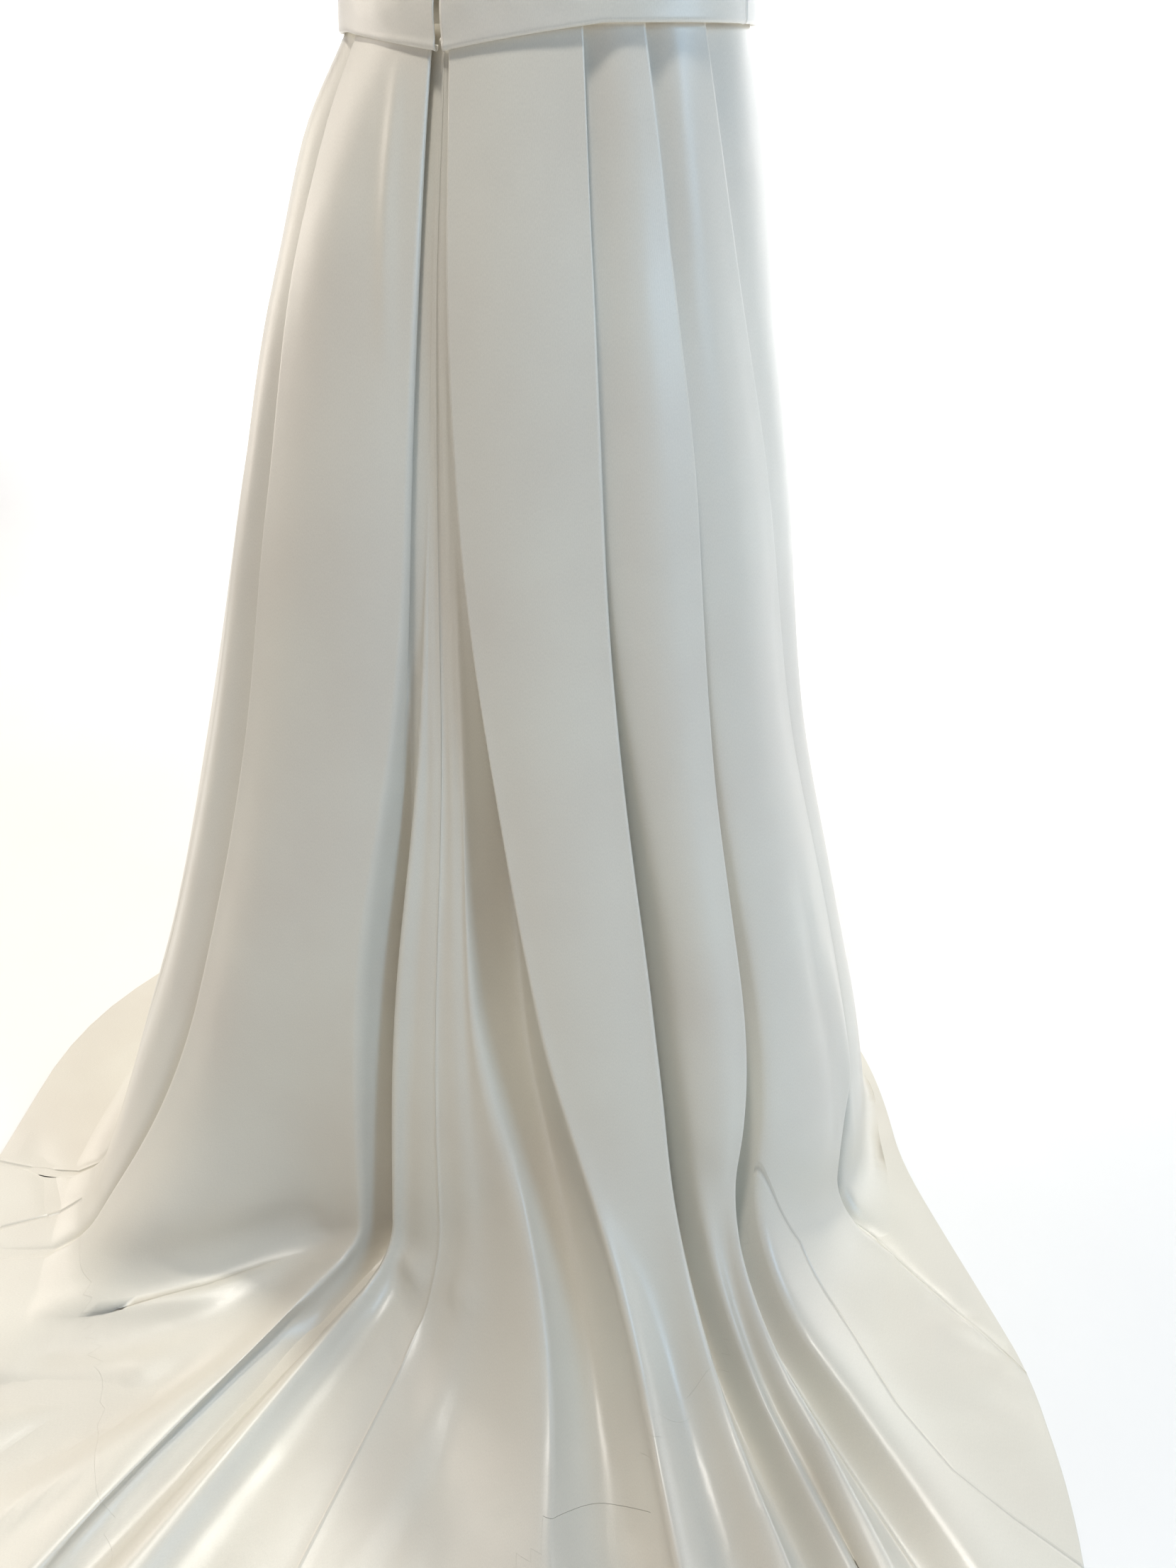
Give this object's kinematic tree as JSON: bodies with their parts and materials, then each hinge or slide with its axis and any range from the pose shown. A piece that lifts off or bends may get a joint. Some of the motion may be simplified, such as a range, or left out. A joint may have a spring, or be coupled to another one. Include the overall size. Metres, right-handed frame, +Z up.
{
  "type": "wedding dress",
  "caption": "Strapless floor-length satin gown with a smooth waistband, a pleated skirt, an inverted pleat at the centre back, a zip and a long train.",
  "frame": {"origin": "middle of the waist at the waistband's lower edge, where the wearer holds the dress; the floor is at z = -1.0", "axes": "+Z up, the wearer faces -Y so the train runs to +Y, the wearer's left is +X"},
  "size_m": [1.2209, 1.5924, 1.33],
  "materials": {
    "satin": "satin",
    "band_satin": "satin",
    "zip_cloth": "matte",
    "zip_metal": "satin"
  },
  "bodies": {
    "root": {"skirt_back_right": "satin", "skirt_side_right": "satin", "skirt_front": "satin", "skirt_side_left": "satin", "skirt_back_left": "satin", "waistband_back_right": "band_satin", "waistband_front": "band_satin", "waistband_back_left": "band_satin", "bodice_back_right": "satin", "bodice_side_right": "satin", "bodice_front": "satin", "bodice_side_left": "satin", "bodice_back_left": "satin", "zip_tape": "zip_cloth", "zip_slider": "zip_metal"},
    "zip_pull": {"zip_pull": "zip_metal"}
  },
  "joints": [
    {"name": "zip_pull_swing", "type": "hinge", "parent": "root", "child": "zip_pull", "pos_m": [0, 0.11512, 0.213], "axis": [1, 0, 0], "range_deg": [0, 150]}
  ]
}
